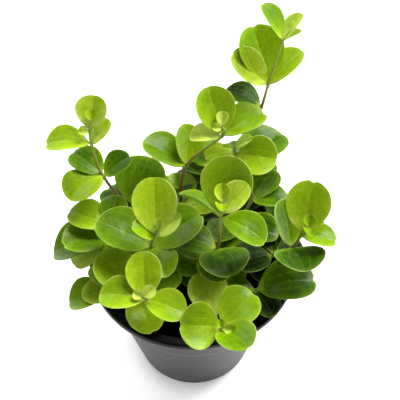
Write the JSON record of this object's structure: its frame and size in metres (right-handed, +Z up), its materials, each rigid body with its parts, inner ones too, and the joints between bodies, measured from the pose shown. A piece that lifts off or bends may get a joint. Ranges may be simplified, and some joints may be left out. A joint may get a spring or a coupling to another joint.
{
  "type": "potted trailing jade peperomia",
  "caption": "Small trailing peperomia with round bright green leaves on upright and spreading stems, growing in a tapered black plastic nursery pot.",
  "frame": {"origin": "centre of the pot's flat underside", "axes": "+Z up along the pot's axis; -Y towards the viewer of the picture, +X to that viewer's right"},
  "size_m": [0.1294, 0.1278, 0.1833],
  "materials": {
    "pot_plastic": "semi-gloss black plastic",
    "potting_soil": "moist crumbly potting soil",
    "leafy_stem": "satin fleshy leaves, lime at the tips and dark green below, on thin pink-brown to green stems"
  },
  "bodies": {
    "root": {"pot": "pot_plastic", "soil": "potting_soil", "shoot_tall": "leafy_stem", "shoot_left": "leafy_stem", "shoot_crown": "leafy_stem", "shoot_bud": "leafy_stem", "shoot_centre": "leafy_stem", "shoot_right": "leafy_stem", "shoot_left_middle": "leafy_stem", "shoot_front_left": "leafy_stem", "shoot_front_right": "leafy_stem", "shoot_right_low": "leafy_stem", "shoot_back_left": "leafy_stem", "shoot_left_low": "leafy_stem", "shoot_front_left_low": "leafy_stem", "shoot_back": "leafy_stem", "shoot_back_right": "leafy_stem", "shoot_right_back": "leafy_stem", "shoot_far_left": "leafy_stem"}
  },
  "joints": []
}
